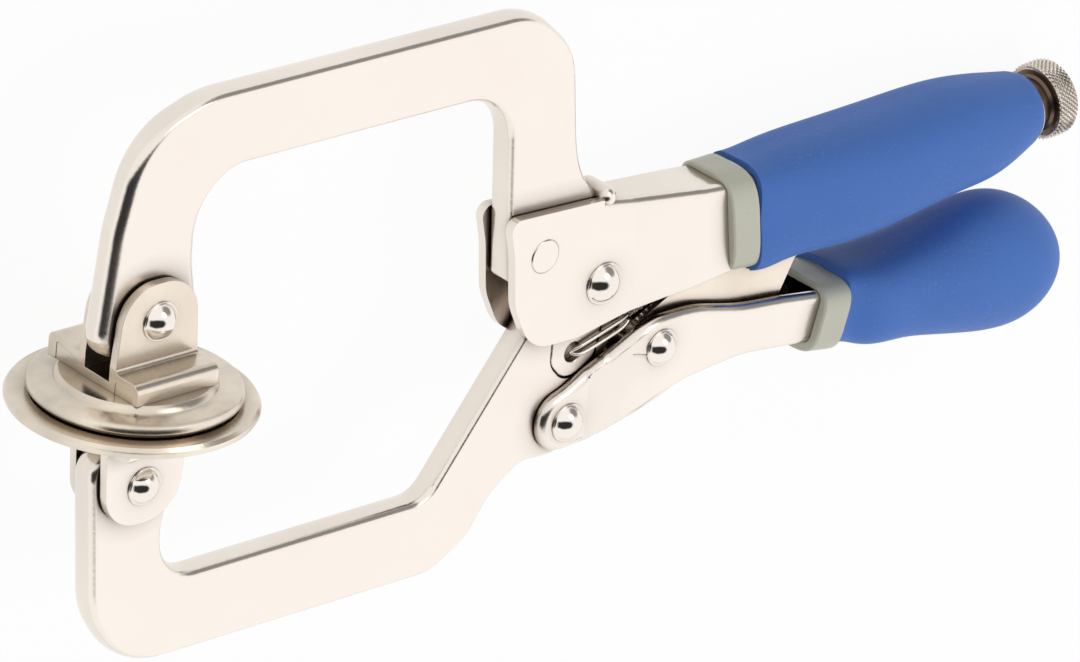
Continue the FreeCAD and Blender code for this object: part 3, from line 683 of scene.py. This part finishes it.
@dataclass
class Arm:
    """A thick arm plate whose long edges are crowned, as a tumbled bar has them.

    The edge is drawn in by the crown where the faces begin. Where the leg stands upright it also
    swells past the solid's outline, up to the swell.
    """

    node: str
    body: Body
    plain_from: Point
    plain_to: Point
    bore: Triple
    swell: float = 0.0
    swell_end: Point = (25.0, 60.0)
    half: float = 2.8
    solid_round: float = 0.9
    crown: float = 1.5
    rings: tuple[float, ...] = (0.0, 0.6, 1.15, 1.6, 2.1, 2.4, 2.6)
    wall_reach: float = 0.15
    side_share: float = 0.05

    def reach(self, height: float, upright: float) -> float:
        """Return how far out of the solid's edge the crowned one lies.

        Args:
            height: The height over the plate's middle plane.
            upright: How much this is a leg's side that swells, 0 to 1.

        Returns:
            The distance in millimetres, negative inward.
        """
        swell = self.swell * upright
        crown = max(self.crown, swell + self.solid_round)
        share = min(1.0, abs(height) / self.half)
        over = max(0.0, abs(height) - (self.half - self.solid_round))
        solid = self.solid_round - math.sqrt(max(0.0, self.solid_round ** 2 - over * over))
        return swell - crown * (1.0 - math.sqrt(1.0 - share * share)) + solid

    def weight(self, place: Vector) -> float:
        """Tell how much of the crown a place has.

        Args:
            place: The place, in metres.

        Returns:
            1 where the edge is crowned, falling to 0 where it lies between the cheeks.
        """
        run = Vector((self.plain_to[0] - self.plain_from[0], self.plain_to[1] - self.plain_from[1]))
        along = Vector((place.x / MM - self.plain_from[0], place.y / MM - self.plain_from[1])).dot(run)
        return 1.0 - smooth(along / run.length_squared)

    def in_bore(self, vert: bmesh.types.BMVert) -> bool:
        """Tell whether a point is on the wall of the arm's hole."""
        x, y, radius = self.bore
        return abs(math.hypot(vert.co.x / MM - x, vert.co.y / MM - y) - radius) < self.wall_reach

    def move(self, vert: bmesh.types.BMVert) -> Vector:
        """Work out how a point of the solid's edge moves.

        Args:
            vert: The point.

        Returns:
            The move in the plate's plane, in metres.
        """
        sides = [face.normal.xy for face in vert.link_faces if face.normal.xy.length > self.side_share]
        outward = sum(sides, Vector((0.0, 0.0)))
        if outward.length < LOOSE or self.in_bore(vert):
            return Vector((0.0, 0.0))
        outward.normalize()
        start, end = self.swell_end
        upright = outward.x ** 2 * (1.0 - smooth((vert.co.x / MM - start) / (end - start)))
        return outward * self.reach(vert.co.z / MM, upright) * self.weight(vert.co) * MM

    def build(self, shop: Workshop) -> None:
        """Crown the plate's edges and mount it.

        Args:
            shop: The workshop.
        """
        bm = shop.flattened(shop.merged(self.node))
        rings = {sign * ring for ring in self.rings for sign in (-1.0, 1.0)}
        cut_across(bm, (0.0, 0.0, 1.0), sorted(rings))
        bm.normal_update()
        for vert, move in [(vert, self.move(vert)) for vert in bm.verts]:
            vert.co.xy += move
        obj = shop.piece(bm, self.node + "_crowned", Slot.PLATED, self.body, [self.node],
                         sharp=40.0, scale=1.0)
        shop.even(obj)


@dataclass
class Rivet:
    """A rivet with a domed head on a thin flange in front, and a low set head behind."""

    node: str
    at: Point
    level: float
    shank: float
    head: float
    rise: float
    tail: float
    tail_rise: float
    body: Body
    flange: float = 0.3
    step: float = 0.32
    steps: int = 72

    def build(self, shop: Workshop) -> None:
        """Spin the rivet's profile and mount it.

        Args:
            shop: The workshop.
        """
        top = self.level + self.flange
        dome = [(r, top + h) for r, h in ball_cap(self.head - self.step, self.rise - self.flange, 16)]
        back = [(r, -h - self.level) for r, h in ball_cap(self.tail, self.tail_rise, 8)]
        profile = list(reversed(back))
        profile += [(self.shank, -self.level), (self.shank, self.level), (self.head - 0.06, self.level),
                    (self.head, self.level + 0.07), (self.head, top - 0.08), (self.head - 0.08, top),
                    (self.head - self.step + 0.07, top - 0.04)]
        bm = turned_mesh(profile + dome, self.steps)
        bmesh.ops.translate(bm, vec=(self.at[0], self.at[1], 0), verts=bm.verts[:])
        shop.piece(bm, self.node + "_polished", Slot.CHROME, self.body, [self.node], sharp=40.0)


@dataclass
class ReturnSpring:
    """The wire spring: a long narrow loop at the lug, open turns, and a short hook at the anchor."""

    eye: Point = (102.3, -15.9)
    anchor: Point = (144.0, -3.2)
    radius: float = 1.75
    wire: float = 0.38
    coil_start: float = 14.6
    coil_stop: float = 4.2
    turns: int = 20
    points_per_turn: int = 14
    loop_half: float = 0.9
    loop_height: float = 3.45

    def loop(self) -> list[Triple]:
        """Return the long loop's points, from the coil to the eye and back."""
        side, height, start = self.loop_half, self.loop_height, self.coil_start
        return [
            (start - 1.4, -side * 0.4, height - 0.3), (start - 2.2, -side, height),
            (start * 0.5, -side, height + 0.05), (2.0, -side, height), (0.4, -side * 0.8, height - 0.3),
            (-0.6, 0.0, height - 1.4), (0.4, side * 0.8, height - 0.3), (2.0, side, height),
            (start * 0.5, side, height + 0.05), (start - 2.2, side, height), (start - 0.9, side * 0.7, 2.7)]

    def coil(self, stop: float) -> list[Triple]:
        """Return the coil's points, up to where it stops along the spring."""
        count = self.turns * self.points_per_turn
        turns = [(i / count, math.tau * i / self.points_per_turn) for i in range(count + 1)]
        return [(self.coil_start + (stop - self.coil_start) * share, self.radius * math.sin(turn),
                 self.radius * math.cos(turn)) for share, turn in turns]

    def hook(self, run: float, stop: float) -> list[Triple]:
        """Return the short hook's points, from the coil's stop to the anchor at the run's end."""
        return [(stop + 1.0, 0.5, 1.6), (run - 1.0, 0.5, 1.5), (run + 0.3, 0.4, 1.3), (run + 0.5, 0.0, -0.1),
                (run - 0.3, -0.3, -0.8)]

    def route(self) -> list[Triple]:
        """Return the wire's points, with x along the spring from the lug's eye."""
        run = math.hypot(self.anchor[0] - self.eye[0], self.anchor[1] - self.eye[1])
        stop = run - self.coil_stop
        return self.loop() + self.coil(stop) + self.hook(run, stop)

    def build(self, shop: Workshop) -> None:
        """Draw the wire along its route and mount it.

        Args:
            shop: The workshop.
        """
        data = bpy.data.curves.new("spring_route", "CURVE")
        data.dimensions = "3D"
        data.bevel_depth = self.wire
        data.bevel_resolution = 3
        data.use_fill_caps = True
        route = self.route()
        spline = data.splines.new("NURBS")
        spline.points.add(len(route) - 1)
        for point, place in zip(spline.points, route):
            point.co = (*place, 1.0)
        spline.order_u = 3
        spline.use_endpoint_u = True
        spline.resolution_u = 3
        holder = bpy.data.objects.new("spring_route", data)
        bm = bmesh.new()
        bm.from_mesh(bpy.data.meshes.new_from_object(holder))
        bpy.data.objects.remove(holder)
        lean = math.atan2(self.anchor[1] - self.eye[1], self.anchor[0] - self.eye[0])
        place = Matrix.Translation((self.eye[0], self.eye[1], 0.0)) @ Matrix.Rotation(lean, 4, "Z")
        bmesh.ops.transform(bm, matrix=place, verts=bm.verts[:])
        shop.piece(bm, "return_spring_wire", Slot.SPRING, Body.FRAME, ["return_spring"], sharp=60.0)


@dataclass
class HandleJoggle:
    """The lower handle's joggle, drawn out into a long, flat ramp, as the photo shows it."""

    sheet: float = 1.9
    narrow: float = 5.0
    wide: float = 6.9
    start: float = 104.6
    end: float = 117.0
    solid_outer: float = 105.4
    solid_inner: float = 106.2
    solid_run: float = 3.2
    cuts: tuple[float, ...] = (106.2, 108.6, 109.4, 111.5, 114.0)
    snap: float = 0.07
    under: float = 0.15

    def solid_half(self, x: float, start: float) -> float:
        """Return the solid's half width at x, for the face whose joggle begins at the start."""
        share = min(1.0, max(0.0, (x - start) / self.solid_run))
        return self.narrow + (self.wide - self.narrow) * share

    def placed(self, x: float, depth: float) -> float:
        """Work out where the ramp takes a point of the solid.

        Args:
            x: The point's place along the handle.
            depth: Its distance from the middle plane.

        Returns:
            The new distance from the middle plane.
        """
        outer = self.solid_half(x, self.solid_outer)
        inner = self.solid_half(x, self.solid_inner) - self.sheet
        ramp = self.narrow + (self.wide - self.narrow) * (x - self.start) / (self.end - self.start)
        if depth <= inner - self.under:
            return depth * (ramp - self.sheet) / inner
        share = (depth - inner) / (outer - inner)
        if share > 1.0 - self.snap:
            share = 1.0
        elif share < self.snap:
            share = 0.0
        return ramp - self.sheet + self.sheet * share

    def shape(self, bm: Mesh) -> None:
        """Ease the joggle of the handle's mesh, which is in metres."""
        cut_across(bm, (1.0, 0.0, 0.0), (self.start, *self.cuts, self.end))
        for vert in bm.verts:
            x, z = vert.co.x / MM, vert.co.z / MM
            if self.start <= x <= self.end:
                vert.co.z = math.copysign(self.placed(x, abs(z)), z) * MM


@dataclass
class RearEnd:
    """The rear ends of the barrel and the grip, drawn back from the knob so that its neck shows."""

    solid_end: float = 5.4
    end: float = 8.1
    reach: float = 10.0

    def shape(self, bm: Mesh) -> None:
        """Draw back the end of a mesh, which is in metres."""
        angle = math.radians(SCREW_TILT)
        along = Vector((math.cos(angle), math.sin(angle), 0.0))
        rim = Vector((*KNOB_RIM, 0.0)) * MM
        for vert in bm.verts:
            back = (rim - vert.co).dot(along) / MM
            if back < self.reach:
                share = (self.reach - self.end) / (self.reach - self.solid_end)
                drawn = self.end + (back - self.solid_end) * share
                vert.co += along * (back - drawn) * MM


@dataclass
class YokeFlanges:
    """The upper yoke's folded flanges, closed by webs, with the far one bent up and out."""

    base: float = 3.9
    room: float = 5.05
    wall: float = 9.6
    reach: float = 11.2
    top: float = 6.1
    half: float = 8.98
    middle: float = 0.5
    outward: float = 2.2
    upward: float = 1.2
    fold: float = 1.0
    play: float = 0.1

    def web(self, bm: Mesh, side: float) -> None:
        """Put the web into the flange on one side, which is -1 or 1."""
        box = bmesh.ops.create_cube(bm, size=1.0)["verts"]
        size = Vector((2.0 * self.half, self.top - self.base, self.wall - self.room))
        place = Vector((self.middle, 0.5 * (self.top + self.base), side * 0.5 * (self.wall + self.room)))
        bmesh.ops.scale(bm, vec=size * MM, verts=box)
        bmesh.ops.translate(bm, vec=place * MM, verts=box)

    def shape(self, bm: Mesh) -> None:
        """Close the flanges of the yoke's mesh, which is in metres, and bend the far one."""
        for side in (-1.0, 1.0):
            self.web(bm, side)
        for vert in bm.verts:
            behind = -vert.co.z / MM
            if behind > self.room + self.play:
                share = (behind - self.room) / (self.reach - self.room)
                vert.co.z -= self.outward * share * MM
                if vert.co.y / MM > self.base + self.fold:
                    vert.co.y += self.upward * smooth(share * 2.0) * MM


@dataclass
class AdjustingScrew:
    """The screw that sets the jaws: a threaded shank, a collar and a knurled knob."""

    rim: Point = KNOB_RIM
    tilt: float = SCREW_TILT
    length: float = 56.99
    crest: float = 3.3
    root: float = 2.8
    pitch: float = 2.0
    thread_end: float = 26.0
    thread_steps: int = 32
    flank: float = 0.42
    steps: int = 96
    ring_back: float = 30.2
    shoulder: float = 5.4
    neck_back: float = 8.2
    collar: float = 4.9
    knob: float = 7.6
    knob_length: float = 4.7
    knurls: int = 46
    knurl_depth: float = 0.42
    steps_per_knurl: int = 8
    rows: int = 44

    def placed(self, bm: Mesh) -> Mesh:
        """Lay a mesh turned about +Z onto the screw's axis."""
        angle = math.radians(self.tilt)
        matrix = aimed((self.rim[0], self.rim[1], 0.0), (math.cos(angle), math.sin(angle), 0.0))
        bmesh.ops.transform(bm, matrix=matrix, verts=bm.verts[:])
        return bm

    def core(self) -> Mesh:
        """Return the shank, the collar and the knob's body."""
        back = -self.knob_length
        inner = self.knob - 0.45
        return turned_mesh([
            (0.0, -self.length), (self.root - 0.6, -self.length), (self.root, -self.length + 0.8),
            (self.root, -self.thread_end), (self.crest, -self.thread_end + 0.6), (self.crest, -self.shoulder),
            (self.collar - 0.4, -self.shoulder), (self.collar, -self.shoulder + 0.3), (self.collar, back),
            (inner - 0.45, back), (inner - 0.25, back + 0.08), (inner, back + 0.4), (inner, -0.4),
            (inner - 0.4, 0.0), (self.knob - 1.7, 0.0), (self.knob - 2.1, -0.3), (0.0, -0.3)], self.steps)

    def thread(self) -> Mesh:
        """Return the thread as a ridge that winds along the axis, from the tip to the ring."""
        start, end = -self.length + 0.8, -self.ring_back
        bm = bmesh.new()
        low, high = self.root - 0.15, self.crest
        ridge = [(low, 0.0), (high, self.flank * self.pitch), (high, (1.0 - self.flank) * self.pitch),
                 (low, self.pitch)]
        verts = [bm.verts.new((r, 0.0, start + h)) for r, h in ridge]
        face = bm.faces.new(verts)
        steps = self.thread_steps
        count = round(((end - start) / self.pitch - 1.0) * steps)
        bmesh.ops.spin(bm, geom=[face, *face.edges, *verts], cent=(0, 0, 0), axis=(0, 0, 1),
                       dvec=(0, 0, self.pitch / steps), angle=math.tau * count / steps, steps=count)
        bmesh.ops.recalc_face_normals(bm, faces=bm.faces[:])
        return bm

    def knurl(self) -> Mesh:
        """Return the knob's rim, cut with two crossing sets of grooves."""
        back = -self.knob_length
        profile = [(self.knob - 1.2, back + 0.06), (self.knob - 0.55, back + 0.02)]
        for row in range(self.rows + 1):
            share = row / self.rows
            swell = 0.45 * abs(2.0 * share - 1.0) ** 8
            profile.append((self.knob - swell, back + 0.1 + share * (self.knob_length - 0.2)))
        profile += [(self.knob - 0.55, -0.02), (self.knob - 1.2, -0.06)]
        bm = turned_mesh(profile, self.knurls * self.steps_per_knurl)
        lean = self.knurls / (math.tau * self.knob)
        for vert in bm.verts:
            reach = math.hypot(vert.co.x, vert.co.y)
            if reach > self.knob - 0.5:
                around = math.atan2(vert.co.y, vert.co.x) * self.knurls / math.tau
                along = vert.co.z * lean
                groove = max(abs(2.0 * (cut % 1.0) - 1.0) for cut in (around + along, around - along))
                vert.co.xy *= 1.0 - self.knurl_depth * groove ** 1.5 / reach
        return bm

    def build(self, shop: Workshop) -> None:
        """Join the parts of the screw and mount it, after its neck.

        Args:
            shop: The workshop.
        """
        bm = bmesh.new()
        for part in (self.core(), self.knurl(), self.thread()):
            mesh = mesh_from(part, "screw_part")
            bm.from_mesh(mesh)
            bpy.data.meshes.remove(mesh)
        neck = shop.piece(self.placed(self.neck()), "adjusting_screw_neck", Slot.PLATED, Body.SCREW)
        neck.data.materials[0] = shop.palette.dark_neck
        shop.piece(self.placed(bm), "adjusting_screw_turned", Slot.PLATED, Body.SCREW,
                   ["adjusting_screw"], sharp=34.0)

    def neck(self) -> Mesh:
        """Return the dark neck between the barrel and the knob, with the knob's dark inner face."""
        face = -self.knob_length - 0.05
        front = -self.ring_back + 2.5
        sleeve, collar, rim = self.crest + 0.15, self.collar + 0.2, self.knob - 1.1
        return turned_mesh([
            (self.crest, front), (sleeve, front), (sleeve, -self.neck_back - 0.4), (collar, -self.neck_back),
            (collar, face - 0.5), (collar + 0.5, face - 0.05), (rim, face), (rim, face + 0.2),
            (self.crest, face + 0.2)], self.steps)


@dataclass
class Studio:
    """The camera, the lamps, the floor and the white surroundings.

    A lamp's row holds its name, its direction from the clamp's middle, its distance and its side in
    metres, and its power in watts. The key lamp is over the side that faces the camera.
    """

    LAMPS = (("key", (0.5, -0.3, 0.8), 1.4, 0.8, 7.5), ("fill", (-0.7, 0.1, 0.7), 1.5, 0.9, 2.4))

    eye: Triple = (-889.3, 650.2, 1020.5)
    right: Triple = (0.7461, 0.0947, 0.6591)
    up: Triple = (0.2168, 0.9013, -0.3749)
    lens: float = 288.2
    floor_radius: float = 1400.0
    floor_drop: float = 0.3
    floor_glow: float = 0.94
    fill: float = 0.55
    wall: float = 1.08
    opening: float = 0.03
    strip_middle: Point = (-0.42, -0.13)
    strip_half: Point = (0.75, 0.42)
    strip_level: Point = (0.18, 0.44)
    strip_ripple: float = 0.3
    gap_way: Triple = (0.63, 0.65, 0.42)
    gap_depth: float = 0.75
    pane_way: Triple = (0.235, 0.57, 0.79)
    pane_light: float = 1.2
    strip_soft: Point = (0.9, 1.25)
    gap_soft: Point = (0.86, 0.97)
    pane_soft: Point = (0.965, 0.985)
    ripple_scale: float = 2.2
    middle: Triple = (105.0, 0.0, 0.0)
    rests: tuple[tuple[str, Point], ...] = (
        ("lower_pad_disc", (0.0, -1.8)), ("lower_grip", (211.0, -24.5)), ("upper_grip", (184.0, 4.5)))
    floor_ahead: float = 100.0

    def build(self) -> None:
        """Put up everything that isn't the clamp."""
        self.camera()
        self.world()
        self.lamps()
        self.floor()
        bpy.context.scene.view_settings.view_transform = "Standard"

    def camera(self) -> None:
        """Stand the camera where the picture was taken from."""
        data = bpy.data.cameras.new("camera")
        data.lens = self.lens
        data.sensor_width = 36.0
        data.clip_start = 0.05
        data.clip_end = 50.0
        obj = in_scene("camera", data)
        right = Vector(self.right).normalized()
        up = Vector(self.up)
        up = (up - right * up.dot(right)).normalized()
        turn = Matrix((right, up, right.cross(up))).transposed().to_4x4()
        obj.matrix_world = Matrix.Translation(Vector(self.eye) * MM) @ turn
        bpy.context.scene.camera = obj

    def world(self) -> None:
        """Show white behind the clamp, a studio with dark openings in its plating, and a soft light."""
        world = bpy.data.worlds.new("studio")
        world.use_nodes = True
        bpy.context.scene.world = world
        graph = Graph(world.node_tree)
        back = world.node_tree.nodes["Background"]
        path = graph.add("ShaderNodeLightPath")
        glossy = graph.math("MAXIMUM", path.outputs["Is Glossy Ray"], path.outputs["Is Transmission Ray"])
        seen = graph.math("MULTIPLY", path.outputs["Is Camera Ray"], 1.0 - self.fill)
        plain = graph.math("ADD", seen, self.fill)
        mirrored = self.mirrored(graph, graph.add("ShaderNodeTexCoord").outputs["Generated"])
        strength = graph.add("ShaderNodeMix", {"Factor": glossy, "A": plain, "B": mirrored})
        graph.feed(back.inputs["Strength"], strength.outputs["Result"])
        back.inputs["Color"].default_value = WHITE

    def mirrored(self, graph: Graph, way: Socket) -> Socket:
        """Return how bright the studio is in the plating, by direction.

        Args:
            graph: The world's graph.
            way: The direction.

        Returns:
            The brightness: white walls, a dark strip overhead, a dark gap and a bright pane.
        """
        parts = graph.add("ShaderNodeSeparateXYZ", {"Vector": way}).outputs[:3]
        ripple = graph.add("ShaderNodeTexNoise", {"Vector": way, "Scale": self.ripple_scale}).outputs["Fac"]
        squares = []
        for part, middle, half in zip(parts, self.strip_middle, self.strip_half):
            off = graph.math("DIVIDE", graph.math("ADD", part, -middle), half)
            squares.append(graph.math("MULTIPLY", off, off))
        reach = graph.math("SQRT", graph.math("ADD", *squares))
        reach = graph.math("ADD", reach, graph.math("MULTIPLY", ripple, self.strip_ripple))
        strip = graph.math("SUBTRACT", 1.0, graph.step(reach, *self.strip_soft))
        strip = graph.math("MULTIPLY", strip, graph.step(parts[2], *self.strip_level))
        gap = graph.step(self.toward(graph, parts, self.gap_way), *self.gap_soft)
        dark = graph.math("MAXIMUM", strip, graph.math("MULTIPLY", gap, self.gap_depth))
        pane = graph.step(self.toward(graph, parts, self.pane_way), *self.pane_soft)
        light = graph.math("ADD", self.wall, graph.math("MULTIPLY", pane, self.pane_light))
        return graph.math("SUBTRACT", light, graph.math("MULTIPLY", dark, self.wall - self.opening))

    def toward(self, graph: Graph, parts: Sequence[Socket], way: Triple) -> Socket:
        """Return how far a direction, given in parts, points along another."""
        terms = [graph.math("MULTIPLY", part, share) for part, share in zip(parts, way)]
        return graph.math("ADD", graph.math("ADD", terms[0], terms[1]), terms[2])

    def lamps(self) -> None:
        """Hang square soft lamps that face the clamp's middle and stay out of its reflections."""
        for name, direction, distance, size, power in self.LAMPS:
            data = bpy.data.lights.new(name, "AREA")
            data.shape = "SQUARE"
            data.size = size
            data.energy = power
            obj = in_scene(name, data)
            way = Vector(direction).normalized()
            turn = way.to_track_quat("Z", "Y").to_matrix().to_4x4()
            obj.matrix_world = Matrix.Translation(Vector(self.middle) * MM + way * distance) @ turn
            obj.visible_glossy = False

    def floor(self) -> None:
        """Lay the floor where the clamp rests: on the wider pad's rim and on both grips."""
        rests = [Vector((x * MM, y * MM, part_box(node)[0].z)) for node, (x, y) in self.rests]
        normal = (rests[1] - rests[0]).cross(rests[2] - rests[0]).normalized()
        bm = bmesh.new()
        bmesh.ops.create_circle(bm, cap_ends=True, radius=self.floor_radius * MM, segments=96)
        centre = rests[0] + Vector((self.floor_ahead * MM, 0.0, 0.0))
        centre -= normal * ((centre - rests[0]).dot(normal) + self.floor_drop * MM)
        bmesh.ops.transform(bm, matrix=aimed(centre, normal), verts=bm.verts[:])
        obj = in_scene("floor", mesh_from(bm, "floor"))
        obj.data.materials.append(self.floor_material())

    def floor_material(self) -> Material:
        """Return a white floor that keeps a soft shadow and is open from below."""
        material = bpy.data.materials.new("floor")
        material.use_nodes = True
        graph = Graph(material.node_tree)
        shader = material.node_tree.nodes["Principled BSDF"]
        shader.inputs["Base Color"].default_value = (0.9, 0.9, 0.9, 1.0)
        shader.inputs["Roughness"].default_value = 0.9
        path = graph.add("ShaderNodeLightPath")
        seen = graph.math("MAXIMUM", path.outputs["Is Camera Ray"], path.outputs["Is Glossy Ray"])
        glow = graph.add("ShaderNodeEmission", {"Color": WHITE, "Strength": 1.0}).outputs[0]
        clear = graph.add("ShaderNodeBsdfTransparent").outputs[0]
        below = graph.add("ShaderNodeNewGeometry").outputs["Backfacing"]
        output = material.node_tree.nodes["Material Output"].inputs["Surface"]
        lit = graph.blend(graph.math("MULTIPLY", seen, self.floor_glow), shader.outputs[0], glow)
        graph.feed(output, graph.blend(below, lit, clear))
        return material


@dataclass
class Clamp:
    """The whole clamp, in the order in which its pieces are made."""

    shop: Workshop
    sheet_edge: float = 0.28
    sheet_sharp: float = 46.0
    grip_edge: float = 0.4

    ARMS = (
        Arm("upper_arm", Body.FRAME, (96.0, 19.0), (96.6, 15.0), (0.5, 15.7, 2.55), 1.7),
        Arm("lower_arm", Body.LOWER_JAW, (84.0, -44.0), (90.0, -36.0), (0.0, -16.0, 2.55), 0.3),
    )
    RIVETS = (
        Rivet("jaw_pivot_rivet", (106.0, -2.0), 5.0, 3.5, 4.1, 2.6, 4.6, 1.5, Body.FRAME),
        Rivet("handle_pivot_rivet", (100.6, -28.7), 5.0, 3.0, 3.7, 2.5, 4.0, 1.4, Body.LOWER_HANDLE),
        Rivet("link_rivet", (120.6, -17.6), 6.9, 2.6, 3.6, 2.4, 3.8, 1.4, Body.LOWER_HANDLE),
        Rivet("upper_yoke_rivet", (0.5, 15.7), 5.05, 2.5, 3.7, 2.5, 3.8, 1.3, Body.UPPER_PAD),
        Rivet("lower_yoke_rivet", (0.0, -16.0), 5.05, 2.5, 3.6, 2.4, 3.8, 1.3, Body.LOWER_PAD),
    )
    SHAPERS = {
        "upper_handle_channel": RearEnd().shape, "upper_grip": RearEnd().shape,
        "lower_handle_channel": HandleJoggle().shape, "upper_yoke": YokeFlanges().shape,
    }
    SHEETS = (
        ("upper_handle_channel", Body.FRAME), ("arm_rivet", Body.FRAME),
        ("lower_handle_channel", Body.LOWER_HANDLE), ("spring_lug", Body.LOWER_JAW),
        # The toggle link takes the pads' darker, browner finish as painted shade, for it lies under the upper
        # handle and its grip.
        ("toggle_link", Body.LINK, Slot.PAD), ("handle_stop_tongue", Body.LOWER_HANDLE),
        ("spring_anchor", Body.FRAME), ("link_spacers", Body.LOWER_HANDLE),
        ("upper_yoke", Body.UPPER_PAD, Slot.PAD), ("lower_yoke", Body.LOWER_PAD),
    )
    ROUND_PARTS = (
        ("arm_weld_bead", Body.FRAME), ("screw_nut", Body.FRAME), ("screw_retaining_ring", Body.CARRIER),
        ("upper_pad_disc", Body.UPPER_PAD, Slot.PAD), ("lower_pad_disc", Body.LOWER_PAD, Slot.PAD),
        ("upper_pad_rivet", Body.UPPER_PAD, Slot.PAD), ("lower_pad_rivet", Body.LOWER_PAD, Slot.PAD),
    )
    SOFT_PARTS = (
        ("upper_grip", Body.FRAME, Slot.GRIP), ("upper_grip_band", Body.FRAME, Slot.BAND),
        ("lower_grip", Body.LOWER_HANDLE, Slot.GRIP), ("lower_grip_band", Body.LOWER_HANDLE, Slot.BAND),
    )

    def frame_parts(self) -> list[FramePart]:
        """Return the pieces that keep their solids' forms: sheets, then round parts, then soft parts."""
        parts = [FramePart(*row, edge=self.sheet_edge, sharp=self.sheet_sharp) for row in self.SHEETS]
        parts += [FramePart(*row) for row in self.ROUND_PARTS]
        parts += [FramePart(*row, edge=self.grip_edge) for row in self.SOFT_PARTS]
        for part in parts:
            part.shape = self.SHAPERS.get(part.node)
        return parts

    def build(self) -> None:
        """Build every piece."""
        for part in (*self.ARMS, *self.RIVETS, ReturnSpring(), AdjustingScrew(), *self.frame_parts()):
            part.build(self.shop)


def main() -> None:
    """Build the clamp's looks in order."""
    logging.basicConfig(level=logging.INFO, format="%(name)s: %(message)s")
    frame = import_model()
    Studio().build()
    Clamp(Workshop(Palette(), frame["nodes"])).build()


if __name__ == "__main__":
    main()
